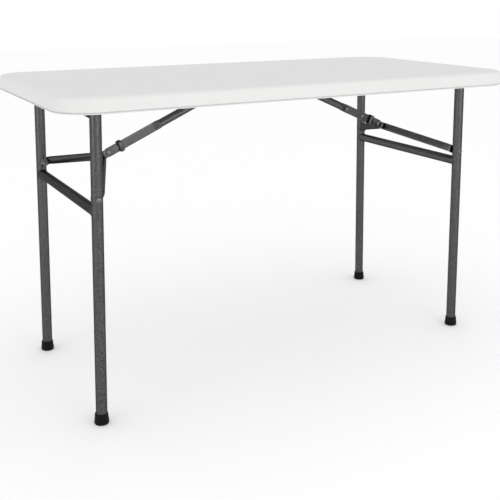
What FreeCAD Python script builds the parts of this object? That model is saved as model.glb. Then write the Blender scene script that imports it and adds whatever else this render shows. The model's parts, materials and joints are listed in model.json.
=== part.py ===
"""Folding table: a moulded top on two braced leg frames that fold flat under it.

Millimetres. X runs along the top, Y across it, +Z is up, and the origin is on the
floor under the middle of the top. The two leg frames are the same parts, turned half
a turn about Z, and each stands a little to one side of the middle, so that the legs
pass beside each other when both are folded.
"""
import FreeCAD, Part
import math
import os
from FreeCAD import Vector

# Top
LENGTH = 1219.2
WIDTH = 609.6
HEIGHT = 736.6
RIM_HEIGHT = 36.3
DECK_THICKNESS = 17.0
RIM_WIDTH = 25.0
CORNER_R = 80.0
TOP_EDGE_R = 8.5
RIM_EDGE_R = 3.0
POCKET_SKIN = 3.6
POCKET_HALF_WIDTH = 18.0
POCKET_WIDE_HALF = 62.0
POCKET_WIDE_LENGTH = 66.0

# Leg frame
UNIT_SHIFT = 24.0
LEG_R = 12.7
LEG_WALL = 1.2
LEG_EDGE_INSET = 58.8
FOOT_END_INSET = 76.2
SPLAY_DEG = 0.966
LEG_TOP_R = 3.0
PIVOT_DROP = 40.6
PIVOT_TUBE_R = 10.0
CROSSBAR_DROP = 213.0
CROSSBAR_R = 12.0
TUBE_WALL = 1.5

# Foot cap
CAP_BOTTOM_R = 16.75
CAP_TOP_R = 14.35
CAP_HEIGHT = 25.0
CAP_FLOOR = 4.0
CAP_EDGE_R = 1.2

# Brace: a V of two arms from the legs, and one link up to the deck
ARM_DROP = 184.5
LINK_ANGLE_DEG = 24.0
ANCHOR_INSET = 438.3
ANCHOR_DROP = 4.1
LINK_R = 10.0
LINK_END = 12.0
PADDLE_HALF_HEIGHT = 11.3
PADDLE_THICKNESS = 3.0
PADDLE_LENGTH = 129.6
NECK_LENGTH = 24.0
ARM_HEIGHT = 20.0
ARM_WIDTH = 13.0
ARM_EDGE_R = 4.5
EAR_THICKNESS = 2.0
TAIL_LENGTH = 31.5
TAIL_TIP_HALF = 4.5
TAIL_ROOT_HALF = 8.0
ARM_ROOT = 16.0
TAB_THICKNESS = 3.0
TAB_SETBACK = 14.0
LINK_RIVET_STEPS = (62.2, 122.0)

# Lock ring
RING_FROM_KNUCKLE = 33.4
RING_LENGTH = 10.0
RING_WALL = 2.0
RING_GAP_Y = 3.5
RING_GAP_Z = 0.4
RING_CORNER_R = 4.0

# Bearings, anchors and fasteners
BEARING_R = 15.0
BEARING_HALF_LENGTH = 34.0
BEARING_FLANGE = 4.0
BEARING_WIDTH = 24.0
BEARING_FROM_LEG = 20.0
ANCHOR_ROD_R = 4.0
ANCHOR_R = 7.0
ANCHOR_HALF_LENGTH = 19.0
ANCHOR_FLANGE = 3.0
ANCHOR_WIDTH = 14.0
ANCHOR_POCKET_GAP = 2.0
ANCHOR_SCREW_EDGE = 1.0
TAIL_POCKET_GAP = 4.0
KNUCKLE_POCKET_GAP = 2.0
RIVET_R = 4.0
RIVET_HEAD_R = 7.0
RIVET_HEAD_HEIGHT = 2.5
HEAD_ROUND_SHARE = 0.6
SCREW_R = 2.0
SCREW_HEAD_R = 4.5
SCREW_HEAD_HEIGHT = 2.8
SCREW_HEAD_ROUND = 1.26
RECESS_ARM = 2.475
RECESS_HALF_WIDTH = 0.54
RECESS_DEPTH = 1.4
SCREW_GRIP = 10.0
SCREW_FLANGE_EDGE = 3.5

# Clearances
BODY_GAP = 0.3
RUNNING_FIT = 0.05

# How closely an edge's place and direction are matched
NEAR = 0.01
ALONG = 1e-6

# Places worked out from the sizes above, in one unit's own frame:
# x outwards from the middle of the top, y across from the unit's centre line.
UP = Vector(0, 0, 1)
ACROSS = Vector(0, 1, 0)
OUTWARD = Vector(1, 0, 0)
DECK_Z = HEIGHT - DECK_THICKNESS
RIM_Z = HEIGHT - RIM_HEIGHT
POCKET_Z = HEIGHT - POCKET_SKIN
SPLAY = math.tan(math.radians(SPLAY_DEG))
FOOT_X = LENGTH / 2 - FOOT_END_INSET
PIVOT_Z = HEIGHT - PIVOT_DROP
PIVOT_X = FOOT_X - PIVOT_Z * SPLAY
LEG_Y = WIDTH / 2 - LEG_EDGE_INSET - UNIT_SHIFT
ARM_Z = PIVOT_Z - ARM_DROP
ARM_X = FOOT_X - ARM_Z * SPLAY
CROSSBAR_Z = PIVOT_Z - CROSSBAR_DROP
ANCHOR_X = PIVOT_X - ANCHOR_INSET
ANCHOR_Z = DECK_Z - ANCHOR_DROP
EAR_Y = PADDLE_THICKNESS / 2 + BODY_GAP
TAB_Y = LEG_Y - LEG_R - BODY_GAP


def knuckle_reach():
    """Length of the link for which it lies level when the legs are folded.

    Unfolded it slopes down from the anchor at LINK_ANGLE_DEG. Its far end is as
    far from the arm pivot in one place as in the other.
    """
    from_open = Vector(ANCHOR_X - ARM_X, 0, ANCHOR_Z - ARM_Z)
    folded_x = PIVOT_X - ARM_DROP
    folded_z = PIVOT_Z - (ARM_X - PIVOT_X)
    from_folded = Vector(ANCHOR_X - folded_x, 0, ANCHOR_Z - folded_z)
    slope = math.radians(LINK_ANGLE_DEG)
    along = Vector(math.cos(slope), 0, -math.sin(slope))
    spread = from_open.dot(from_open) - from_folded.dot(from_folded)
    return spread / (2 * (from_folded.x - along.dot(from_open)))


LINK_LENGTH = knuckle_reach()
KNUCKLE_X = ANCHOR_X + LINK_LENGTH * math.cos(math.radians(LINK_ANGLE_DEG))
KNUCKLE_Z = ANCHOR_Z - LINK_LENGTH * math.sin(math.radians(LINK_ANGLE_DEG))
ARM_REACH = math.hypot(ARM_X - KNUCKLE_X, KNUCKLE_Z - ARM_Z)
ARM_TILT_DEG = math.degrees(math.atan2(KNUCKLE_Z - ARM_Z, ARM_X - KNUCKLE_X))
FOLDED_KNUCKLE_X = ANCHOR_X + LINK_LENGTH


def box(x0, x1, y0, y1, z0, z1):
    return Part.makeBox(x1 - x0, y1 - y0, z1 - z0, Vector(x0, y0, z0))


def rod(start, end, radius):
    run = end - start
    return Part.makeCylinder(radius, run.Length, start, run)


def cross_rod(x, z, y0, y1, radius):
    return rod(Vector(x, y0, z), Vector(x, y1, z), radius)


def prism(points, direction):
    """Solid from a closed outline of points, extruded by a vector."""
    outline = Part.makePolygon(points + [points[0]])
    return Part.Face(outline).extrude(direction)


def edges_along(shape, direction):
    """The straight edges of a shape that run along a direction."""
    found = []
    for edge in shape.Edges:
        run = edge.Vertexes[-1].Point - edge.Vertexes[0].Point
        if run.Length > 0 and run.cross(direction).Length < ALONG * run.Length:
            found.append(edge)
    return found


def slab(length, width, corner, z0, z1):
    """Flat block with rounded corners, centred on the origin."""
    block = box(-length / 2, length / 2, -width / 2, width / 2, z0, z1)
    return block.makeFillet(corner, edges_along(block, UP))


def edges_at(shape, z):
    return [e for e in shape.Edges if abs(e.BoundBox.ZMin - z) < NEAR and abs(e.BoundBox.ZMax - z) < NEAR]


# ---- one unit's places

def leg_point(y, z):
    return Vector(FOOT_X - z * SPLAY, y, z)


def bearing_middle(k):
    return k * (LEG_Y - BEARING_FROM_LEG - BEARING_WIDTH / 2)


def anchor_middle(k):
    return k * (POCKET_HALF_WIDTH + ANCHOR_POCKET_GAP + ANCHOR_WIDTH / 2)


def bearing_screw_places():
    reach = BEARING_HALF_LENGTH - SCREW_HEAD_R - SCREW_FLANGE_EDGE
    return [(PIVOT_X + i * reach, bearing_middle(k)) for k in (-1, 1) for i in (-1, 1)]


def anchor_screw_places():
    reach = ANCHOR_HALF_LENGTH - SCREW_HEAD_R - ANCHOR_SCREW_EDGE
    return [(ANCHOR_X + i * reach, anchor_middle(k)) for k in (-1, 1) for i in (-1, 1)]


# ---- parts fixed under the top

def saddle(x, z, y, width, bore, outer, half_length, flange, places):
    """Screwed-down block with a round bore across the table."""
    y0, y1 = y - width / 2, y + width / 2
    body = box(x - outer, x + outer, y0, y1, z, DECK_Z)
    body = body.fuse(cross_rod(x, z, y0, y1, outer))
    body = body.fuse(box(x - half_length, x + half_length, y0, y1, DECK_Z - flange, DECK_Z))
    body = body.cut(box(x - outer, x + outer, y0, y1, DECK_Z, HEIGHT))
    body = body.cut(cross_rod(x, z, y0 - 1, y1 + 1, bore)).removeSplitter()
    for sx, sy in places:
        if abs(sy - y) < width / 2:
            body = body.cut(rod(Vector(sx, sy, DECK_Z - 2 * flange), Vector(sx, sy, DECK_Z + 1), SCREW_R))
    return body


def screw(x, y, flange):
    """Pan-head screw with a cross recess, driven up into the deck."""
    under = DECK_Z - flange
    head = rod(Vector(x, y, under - SCREW_HEAD_HEIGHT), Vector(x, y, under), SCREW_HEAD_R)
    head = head.makeFillet(SCREW_HEAD_ROUND, edges_at(head, under - SCREW_HEAD_HEIGHT))
    arm, half, depth = RECESS_ARM, RECESS_HALF_WIDTH, RECESS_DEPTH
    floor = under - SCREW_HEAD_HEIGHT
    head = head.cut(box(x - arm, x + arm, y - half, y + half, floor - 1, floor + depth))
    head = head.cut(box(x - half, x + half, y - arm, y + arm, floor - 1, floor + depth))
    return head.fuse(rod(Vector(x, y, under), Vector(x, y, DECK_Z + SCREW_GRIP), SCREW_R))


def pocket():
    """Channel in the underside of the top that takes the folded brace."""
    start = ANCHOR_X - LINK_END - LINK_R
    end = FOLDED_KNUCKLE_X + TAIL_LENGTH + TAIL_POCKET_GAP
    low = RIM_Z - 1
    narrow = box(start, end, -POCKET_HALF_WIDTH, POCKET_HALF_WIDTH, low, POCKET_Z)
    narrow = narrow.makeFillet(POCKET_HALF_WIDTH / 3, edges_along(narrow, UP))
    wide_end = FOLDED_KNUCKLE_X + KNUCKLE_POCKET_GAP
    wide = box(wide_end - POCKET_WIDE_LENGTH, wide_end, -POCKET_WIDE_HALF, POCKET_WIDE_HALF, low, POCKET_Z)
    wide = wide.makeFillet(POCKET_HALF_WIDTH / 3, edges_along(wide, UP))
    return narrow.fuse(wide)


def tabletop():
    top = slab(LENGTH, WIDTH, CORNER_R, RIM_Z, HEIGHT)
    top = top.makeFillet(TOP_EDGE_R, edges_at(top, HEIGHT))
    inner = slab(LENGTH - 2 * RIM_WIDTH, WIDTH - 2 * RIM_WIDTH, CORNER_R - RIM_WIDTH, RIM_Z - 1, DECK_Z)
    top = top.cut(inner)
    top = top.makeFillet(RIM_EDGE_R, edges_at(top, RIM_Z))
    for side in SIDES.values():
        top = top.cut(place(pocket(), side))
        for x, y in bearing_screw_places() + anchor_screw_places():
            pilot = rod(Vector(x, y, DECK_Z - 1), Vector(x, y, DECK_Z + SCREW_GRIP), SCREW_R)
            top = top.cut(place(pilot, side))
    return top


# ---- leg frame

def leg_core(k):
    """Outside of a leg tube, from above the foot's floor to its closed top."""
    top = leg_point(k * LEG_Y, PIVOT_Z + LEG_R)
    core = rod(leg_point(k * LEG_Y, -CAP_HEIGHT), top, LEG_R)
    rim = [e for e in core.Edges if e.BoundBox.ZMin > PIVOT_Z and e.Closed]
    core = core.makeFillet(LEG_TOP_R, rim)
    return core.cut(box(0, LENGTH, -WIDTH, WIDTH, -2 * CAP_HEIGHT, CAP_FLOOR))


def leg(k):
    y = k * LEG_Y
    bore = rod(leg_point(y, -CAP_HEIGHT), leg_point(y, PIVOT_Z + LEG_R - 2 * LEG_TOP_R), LEG_R - LEG_WALL)
    tube = leg_core(k).cut(bore)
    return tube.cut(cross_rod(ARM_X, ARM_Z, y - 2 * LEG_R, y + 2 * LEG_R, RIVET_R))


def between_legs(x, z, radius):
    """Tube welded between the legs, its ends shaped to them."""
    tube = cross_rod(x, z, -LEG_Y, LEG_Y, radius).cut(cross_rod(x, z, -LEG_Y, LEG_Y, radius - TUBE_WALL))
    return tube.cut(leg_core(-1)).cut(leg_core(1))


def foot_cap(k):
    cap = Part.makeCone(CAP_BOTTOM_R, CAP_TOP_R, CAP_HEIGHT, leg_point(k * LEG_Y, 0))
    cap = cap.makeFillet(CAP_EDGE_R, edges_at(cap, 0))
    return cap.cut(leg_core(k))


def domed_head(x, z, y0, y1, radius):
    """Rivet head from y0, where it seats, to its crown at y1."""
    head = cross_rod(x, z, y0, y1, radius)
    crown = [e for e in head.Edges if e.Closed and abs(e.BoundBox.Center.y - y1) < NEAR]
    return head.makeFillet(abs(y1 - y0) * HEAD_ROUND_SHARE, crown)


def leg_rivet(k):
    """Rivet of an arm pivot: its shank in the leg, its head outside the leg."""
    face = k * (LEG_Y + LEG_R)
    head = domed_head(ARM_X, ARM_Z, face - k * RIVET_HEAD_HEIGHT, face + k * RIVET_HEAD_HEIGHT, RIVET_HEAD_R)
    shank = cross_rod(ARM_X, ARM_Z, k * (LEG_Y - LEG_R + BODY_GAP), face, RIVET_R)
    return head.cut(leg_core(k)).fuse(shank)


# ---- V brace, made level about its knuckle and then tilted into place

def from_knuckle(shape):
    shape.rotate(Vector(0, 0, 0), ACROSS, ARM_TILT_DEG)
    shape.translate(Vector(KNUCKLE_X, 0, KNUCKLE_Z))
    return shape


def arm_strip(k):
    """Pressed tube that runs from the knuckle out to a leg."""
    run = Vector(ARM_REACH - TAB_SETBACK - ARM_ROOT, TAB_Y - EAR_Y, 0)
    half = ARM_WIDTH / 2 * run.Length / run.y
    low = -ARM_HEIGHT / 2
    corners = [Vector(ARM_ROOT - half, k * EAR_Y, low), Vector(ARM_ROOT + half, k * EAR_Y, low)]
    leg_end = ARM_ROOT + run.x
    corners += [Vector(leg_end + half, k * TAB_Y, low), Vector(leg_end - half, k * TAB_Y, low)]
    strip = prism(corners, Vector(0, 0, ARM_HEIGHT))
    return strip.makeFillet(ARM_EDGE_R, edges_along(strip, Vector(run.x, k * run.y, 0)))


def ear(k):
    """Flat end of an arm beside the link, with the tail that the ring holds."""
    y = EAR_Y if k > 0 else -EAR_Y - EAR_THICKNESS
    upper = [(ARM_ROOT, ARM_HEIGHT / 2), (-RIVET_HEAD_R, TAIL_ROOT_HALF), (-TAIL_LENGTH, TAIL_TIP_HALF)]
    lower = [(x, -z) for x, z in reversed(upper)]
    plate = prism([Vector(x, y, z) for x, z in upper + lower], Vector(0, EAR_THICKNESS, 0))
    return plate.cut(cross_rod(0, 0, y - 1, y + EAR_THICKNESS + 1, RIVET_R))


def tab(k):
    """Flat end of an arm against the leg, round about its rivet."""
    y0, y1 = sorted((k * (TAB_Y - TAB_THICKNESS), k * TAB_Y))
    start = ARM_REACH - TAB_SETBACK - ARM_WIDTH / 2
    plate = box(start, ARM_REACH, y0, y1, -ARM_HEIGHT / 2, ARM_HEIGHT / 2)
    return plate.fuse(cross_rod(ARM_REACH, 0, y0, y1, ARM_HEIGHT / 2))


def v_arm(k):
    body = arm_strip(k).fuse(ear(k)).fuse(tab(k)).removeSplitter()
    hole = cross_rod(ARM_REACH, 0, k * (TAB_Y - 2 * TAB_THICKNESS), k * (TAB_Y + 1), RIVET_R)
    return from_knuckle(body.cut(hole))


def knuckle_rivet():
    """Rivet through both ears and the link's paddle."""
    outer = EAR_Y + EAR_THICKNESS
    body = cross_rod(0, 0, -outer, outer, RIVET_R)
    for k in (-1, 1):
        body = body.fuse(domed_head(0, 0, k * outer, k * (outer + RIVET_HEAD_HEIGHT), RIVET_HEAD_R))
    return from_knuckle(body)


def tab_rivet(k):
    """The same rivet as the leg's, where it sits in the arm's tab."""
    inner = TAB_Y - TAB_THICKNESS
    head = domed_head(ARM_REACH, 0, k * inner, k * (inner - RIVET_HEAD_HEIGHT), RIVET_HEAD_R)
    return from_knuckle(head.fuse(cross_rod(ARM_REACH, 0, k * inner, k * TAB_Y, RIVET_R)))


# ---- link and lock ring, made level about the anchor and then tilted

def from_anchor(shape):
    shape.rotate(Vector(0, 0, 0), ACROSS, LINK_ANGLE_DEG)
    shape.translate(Vector(ANCHOR_X, 0, ANCHOR_Z))
    return shape


def link():
    """Tube from the anchor, pressed flat to a paddle at the knuckle."""
    flat = LINK_LENGTH - PADDLE_LENGTH
    neck = flat - NECK_LENGTH
    tube = rod(Vector(-LINK_END, 0, 0), Vector(neck, 0, 0), LINK_R)
    tube = tube.cut(rod(Vector(-LINK_END, 0, 0), Vector(neck, 0, 0), LINK_R - TUBE_WALL))
    round_end = Part.Circle(Vector(neck, 0, 0), OUTWARD, LINK_R).toShape()
    top = Vector(flat, 0, PADDLE_HALF_HEIGHT)
    side = Vector(flat, PADDLE_THICKNESS / 2, 0)
    flat_end = Part.Ellipse(top, side, Vector(flat, 0, 0)).toShape()
    taper = Part.makeLoft([Part.Wire(round_end), Part.Wire(flat_end)], True, True)
    half = PADDLE_THICKNESS / 2
    paddle = box(flat - NECK_LENGTH / 6, LINK_LENGTH, -half, half, -PADDLE_HALF_HEIGHT, PADDLE_HALF_HEIGHT)
    paddle = paddle.fuse(cross_rod(LINK_LENGTH, 0, -half, half, PADDLE_HALF_HEIGHT))
    body = tube.fuse(taper).fuse(paddle)
    body = body.cut(cross_rod(LINK_LENGTH, 0, -LINK_R, LINK_R, RIVET_R + RUNNING_FIT))
    body = body.cut(cross_rod(0, 0, -2 * LINK_R, 2 * LINK_R, ANCHOR_ROD_R + RUNNING_FIT))
    for step in LINK_RIVET_STEPS:
        body = body.cut(cross_rod(LINK_LENGTH - step, 0, -LINK_R, LINK_R, RIVET_R))
    return from_anchor(body)


def link_rivet(step):
    """Flush-set rivet through the paddle, low enough for the ring to pass over."""
    half = PADDLE_THICKNESS / 2
    x = LINK_LENGTH - step
    body = cross_rod(x, 0, -half, half, RIVET_R)
    for k in (-1, 1):
        body = body.fuse(domed_head(x, 0, k * half, k * (half + RIVET_HEAD_HEIGHT), RIVET_HEAD_R))
    return from_anchor(body)


def lock_ring():
    """Rectangular band that slides on the paddle and over the arms' tails."""
    inner_y = EAR_Y + EAR_THICKNESS + RING_GAP_Y
    inner_z = PADDLE_HALF_HEIGHT + RING_GAP_Z
    x0 = LINK_LENGTH - RING_FROM_KNUCKLE - RING_LENGTH / 2
    x1 = x0 + RING_LENGTH
    outer = box(x0, x1, -inner_y - RING_WALL, inner_y + RING_WALL, -inner_z - RING_WALL, inner_z + RING_WALL)
    outer = outer.makeFillet(RING_CORNER_R, edges_along(outer, OUTWARD))
    inner = box(x0, x1, -inner_y, inner_y, -inner_z, inner_z)
    inner = inner.makeFillet(RING_CORNER_R - RING_WALL, edges_along(inner, OUTWARD))
    return from_anchor(outer.cut(inner))


# ---- the whole table

SIDES = {"right": 0.0, "left": 180.0}


def place(shape, turn):
    """Set a unit's part to its side of the middle and turn it to its end."""
    placed = shape.copy()
    placed.translate(Vector(0, UNIT_SHIFT, 0))
    placed.rotate(Vector(0, 0, 0), UP, turn)
    return placed


def unit_parts(turn):
    """Every part of one leg frame and its brace, by name, in the unit's frame."""
    ends = {"front": -1, "back": 1} if turn == 0 else {"front": 1, "back": -1}
    parts = {
        "pivot_tube": between_legs(PIVOT_X, PIVOT_Z, PIVOT_TUBE_R),
        "crossbar": between_legs(FOOT_X - CROSSBAR_Z * SPLAY, CROSSBAR_Z, CROSSBAR_R),
        "leg_rivets": Part.makeCompound([leg_rivet(k) for k in (-1, 1)]),
        "knuckle_rivet": knuckle_rivet(),
        "tab_rivets": Part.makeCompound([tab_rivet(k) for k in (-1, 1)]),
        "brace_link": link(),
        "link_rivets": Part.makeCompound([link_rivet(step) for step in LINK_RIVET_STEPS]),
        "lock_ring": lock_ring(),
        "bearing_screws": Part.makeCompound(
            [screw(x, y, BEARING_FLANGE) for x, y in bearing_screw_places()]),
        "anchor_screws": Part.makeCompound([screw(x, y, ANCHOR_FLANGE) for x, y in anchor_screw_places()]),
    }
    rod_half = POCKET_HALF_WIDTH + ANCHOR_POCKET_GAP + ANCHOR_WIDTH
    parts["anchor_rod"] = cross_rod(ANCHOR_X, ANCHOR_Z, -rod_half, rod_half, ANCHOR_ROD_R)
    for end, k in ends.items():
        parts["leg_" + end] = leg(k)
        parts["foot_cap_" + end] = foot_cap(k)
        parts["v_arm_" + end] = v_arm(k)
        parts["bearing_" + end] = saddle(
            PIVOT_X, PIVOT_Z, bearing_middle(k), BEARING_WIDTH, PIVOT_TUBE_R + RUNNING_FIT,
            BEARING_R, BEARING_HALF_LENGTH, BEARING_FLANGE, bearing_screw_places())
        parts["anchor_" + end] = saddle(
            ANCHOR_X, ANCHOR_Z, anchor_middle(k), ANCHOR_WIDTH, ANCHOR_ROD_R,
            ANCHOR_R, ANCHOR_HALF_LENGTH, ANCHOR_FLANGE, anchor_screw_places())
    return parts


def main():
    os.makedirs("parts", exist_ok=True)
    tabletop().exportStep("parts/tabletop.step")
    for side, turn in SIDES.items():
        for name, shape in unit_parts(turn).items():
            place(shape, turn).exportStep("parts/" + side + "_" + name + ".step")
    print("pivot", round(PIVOT_X, 3), round(PIVOT_Z, 3), "arm pivot", round(ARM_X, 3), round(ARM_Z, 3))
    print("anchor", round(ANCHOR_X, 3), round(ANCHOR_Z, 3), "link", round(LINK_LENGTH, 3))
    print("knuckle", round(KNUCKLE_X, 3), round(KNUCKLE_Z, 3), "arm reach", round(ARM_REACH, 3),
          "tilt", round(ARM_TILT_DEG, 4))


main()
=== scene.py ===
# %% [markdown]
# # Folding utility table
# The table is a white moulded top on two grey steel leg frames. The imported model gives
# every part's place, so this lesson only makes the looks: the moulded top with its
# underside, the pressed tubes of the brace, the weld beads, the rivets and screws, the
# rubber feet, and one material for each real finish.

# %% Load the frame
import json
import math

import bmesh
import bpy
from mathutils import Matrix, Vector


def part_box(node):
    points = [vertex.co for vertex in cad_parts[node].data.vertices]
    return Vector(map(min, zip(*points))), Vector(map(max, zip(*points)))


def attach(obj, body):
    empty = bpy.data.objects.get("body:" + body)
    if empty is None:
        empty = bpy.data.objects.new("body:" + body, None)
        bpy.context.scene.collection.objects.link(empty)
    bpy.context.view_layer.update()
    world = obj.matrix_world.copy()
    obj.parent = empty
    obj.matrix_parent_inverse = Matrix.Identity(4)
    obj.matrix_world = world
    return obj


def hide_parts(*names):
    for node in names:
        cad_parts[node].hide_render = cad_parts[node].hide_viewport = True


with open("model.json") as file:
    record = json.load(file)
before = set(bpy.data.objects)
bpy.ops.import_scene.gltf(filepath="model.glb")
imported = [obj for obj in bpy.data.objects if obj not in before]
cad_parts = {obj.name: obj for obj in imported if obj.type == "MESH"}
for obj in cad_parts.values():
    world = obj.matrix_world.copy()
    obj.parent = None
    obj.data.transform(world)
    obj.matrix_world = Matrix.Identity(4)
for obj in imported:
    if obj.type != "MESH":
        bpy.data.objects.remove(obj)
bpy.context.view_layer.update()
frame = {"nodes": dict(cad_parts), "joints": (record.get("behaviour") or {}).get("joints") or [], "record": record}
MM = 0.001
SIDES = {"right": 1, "left": -1}
JOINTS = {joint["name"]: joint for joint in frame["joints"]}
OPENINGS = {entry["name"]: entry["box_m"] for entry in frame["record"]["physics"]["openings"]}

# %% [markdown]
# ## Camera, floor and light
# Furniture is shown from a little above its top, with a long lens, on a pale sweep.
# The floor is one large plain sheet. One wide softbox in front
# makes the front of the rim the brightest face, a narrow one at the left draws the long
# highlight down each round tube, and a pale world fills the rest.

# %% Camera
CAMERA_PLACE = (-1.0535, -1.871, 0.938)
CAMERA_TURN = 28.91
CAMERA_DIP = 11.49
FOCAL_LENGTH = 59.0
LENS_SHIFT = -0.18

camera_data = bpy.data.cameras.new("camera")
camera_data.lens = FOCAL_LENGTH
camera_data.sensor_width = 36.0
camera_data.shift_y = LENS_SHIFT
camera = bpy.data.objects.new("camera", camera_data)
camera.location = CAMERA_PLACE
camera.rotation_euler = (math.radians(90 - CAMERA_DIP), 0, math.radians(-CAMERA_TURN))
bpy.context.collection.objects.link(camera)
bpy.context.scene.camera = camera
bpy.context.scene.view_settings.view_transform = "Standard"


# %% Small helpers for colours and nodes
def srgb(code):
    """Linear colour from an sRGB hex value such as #DDDDDD."""
    parts = [int(code[i:i + 2], 16) / 255 for i in (1, 3, 5)]
    return [c / 12.92 if c <= 0.04045 else ((c + 0.055) / 1.055) ** 2.4 for c in parts] + [1.0]


def add_node(tree, kind, settings=None, inputs=None):
    """Add a node, set its settings, and fill its inputs with values or links."""
    node = tree.nodes.new(kind)
    for name, value in (settings or {}).items():
        setattr(node, name, value)
    for name, value in (inputs or {}).items():
        if isinstance(value, bpy.types.NodeSocket):
            tree.links.new(value, node.inputs[name])
        else:
            node.inputs[name].default_value = value
    return node


def start_material(name):
    """A new material with only its Principled shader, joined to the output."""
    material = bpy.data.materials.new(name)
    material.use_nodes = True
    tree = material.node_tree
    tree.nodes.clear()
    shader = add_node(tree, "ShaderNodeBsdfPrincipled")
    add_node(tree, "ShaderNodeOutputMaterial", inputs={"Surface": shader.outputs["BSDF"]})
    return material, tree, shader


# %% Floor and lights
FLOOR_HALF = 12.0

floor_mesh = bpy.data.meshes.new("floor")
corners = [(-1, -1), (1, -1), (1, 1), (-1, 1)]
floor_mesh.from_pydata([(x * FLOOR_HALF, y * FLOOR_HALF, 0) for x, y in corners], [], [(0, 1, 2, 3)])
floor = bpy.data.objects.new("floor", floor_mesh)
bpy.context.collection.objects.link(floor)
floor_paint, floor_tree, floor_shader = start_material("matt_white_studio_floor")
floor_shader.inputs["Base Color"].default_value = srgb("#FDFDFD")
floor_shader.inputs["Roughness"].default_value = 0.9
floor_shader.inputs["Specular IOR Level"].default_value = 0.1
floor_mesh.materials.append(floor_paint)

world = bpy.data.worlds.new("pale_studio")
world.use_nodes = True
world.node_tree.nodes["Background"].inputs["Color"].default_value = srgb("#FFFFFF")
world.node_tree.nodes["Background"].inputs["Strength"].default_value = 1.0
bpy.context.scene.world = world


def softbox(name, place, target, width, height, power):
    """Rectangular area light at a place, facing a target."""
    data = bpy.data.lights.new(name, "AREA")
    data.shape = "RECTANGLE"
    data.size = width
    data.size_y = height
    data.energy = power
    light = bpy.data.objects.new(name, data)
    light.location = place
    light.rotation_euler = (Vector(target) - Vector(place)).to_track_quat("-Z", "Y").to_euler()
    bpy.context.collection.objects.link(light)


softbox("front_softbox", (0.6, -3.4, 0.9), (0, 0, 0.6), 2.6, 1.2, 20)
softbox("left_strip", (-4.2, -1.3, 0.6), (-0.2, -0.1, 0.4), 0.2, 2.0, 16)

# %% [markdown]
# ## Finish: moulded polyethylene
# The top is blow-moulded high-density polyethylene. The mould is sandblasted, which
# gives the white skin a fine pebbled grain and a soft, broad sheen. Two noises of real
# size are used: the one for the pebbles feeds the bump, and the one for the slow unevenness of the skin sets the
# tone and the roughness.
# The pebbles are drawn 2.5 mm wide, coarser than the real half millimetre, to show.

# %% Moulded polyethylene
def moulded_polyethylene():
    material, tree, shader = start_material("pebbled_white_polyethylene")
    place = add_node(tree, "ShaderNodeTexCoord").outputs["Object"]
    slow = add_node(tree, "ShaderNodeTexNoise", inputs={"Vector": place, "Scale": 1 / (90 * MM)})
    tone = add_node(tree, "ShaderNodeMix", {"data_type": "RGBA"}, {
        "Factor": slow.outputs["Fac"], 6: srgb("#D5D5D4"), 7: srgb("#D9D9D8")})
    pebbles = add_node(tree, "ShaderNodeTexNoise", inputs={
        "Vector": place, "Scale": 1 / (2.5 * MM), "Detail": 2.0, "Roughness": 0.55})
    grain = add_node(tree, "ShaderNodeBump", inputs={
        "Height": pebbles.outputs["Fac"], "Distance": 0.08 * MM, "Strength": 0.5})
    sheen = add_node(tree, "ShaderNodeMapRange", inputs={
        "Value": slow.outputs["Fac"], "To Min": 0.46, "To Max": 0.54})
    tree.links.new(tone.outputs[2], shader.inputs["Base Color"])
    tree.links.new(sheen.outputs["Result"], shader.inputs["Roughness"])
    tree.links.new(grain.outputs["Normal"], shader.inputs["Normal"])
    shader.inputs["IOR"].default_value = 1.54
    return material


# %% [markdown]
# ## Finish: hammered powder coat
# The steel tubes are powder coated in a dark grey with light flecks. The powder melts
# into small soft hills, so the gloss breaks up and the tube looks grained. A fine noise
# mixes the dark ground with the flecks, and a cell pattern of the hills' size bends the
# surface. The aluminium flakes in the coat make it reflect like a dull metal, but not as
# brightly edge on, so the specular tint, which sets the reflection there, is grey. The
# flecks are drawn 1.6 mm wide, coarser than the real ones of under 1 mm, to show.

# %% Hammered powder coat
FLECK_SIZE = 1.6 * MM


def hammered_powder_coat():
    material, tree, shader = start_material("hammered_grey_powder_coat")
    place = add_node(tree, "ShaderNodeTexCoord").outputs["Object"]
    flecks = add_node(tree, "ShaderNodeTexNoise", inputs={
        "Vector": place, "Scale": 1 / FLECK_SIZE, "Detail": 3.0, "Roughness": 0.7})
    spread = add_node(tree, "ShaderNodeMapRange", inputs={
        "Value": flecks.outputs["Fac"], "From Min": 0.36, "From Max": 0.66})
    tone = add_node(tree, "ShaderNodeMix", {"data_type": "RGBA"}, {
        "Factor": spread.outputs["Result"], 6: srgb("#2A2A2B"), 7: srgb("#727273")})
    hills = add_node(tree, "ShaderNodeTexVoronoi", {"feature": "SMOOTH_F1"}, {
        "Vector": place, "Scale": 1 / (3.0 * MM), "Smoothness": 0.6})
    relief = add_node(tree, "ShaderNodeBump", inputs={
        "Height": hills.outputs["Distance"], "Distance": 0.12 * MM, "Strength": 0.4})
    gloss = add_node(tree, "ShaderNodeMapRange", inputs={
        "Value": flecks.outputs["Fac"], "To Min": 0.24, "To Max": 0.36})
    tree.links.new(tone.outputs[2], shader.inputs["Base Color"])
    tree.links.new(gloss.outputs["Result"], shader.inputs["Roughness"])
    tree.links.new(relief.outputs["Normal"], shader.inputs["Normal"])
    shader.inputs["Metallic"].default_value = 1.0
    shader.inputs["Specular Tint"].default_value = srgb("#A0A0A0")
    return material


# %% [markdown]
# ## Finish: black rubber and black nylon
# The foot caps are vulcanised rubber: nearly black, dull, with a faint bloom. The
# bearing blocks under the top are injection-moulded nylon: as black, smoother, with a
# satin mould texture. Both need only a low contrast in roughness and a fine bump.

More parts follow.
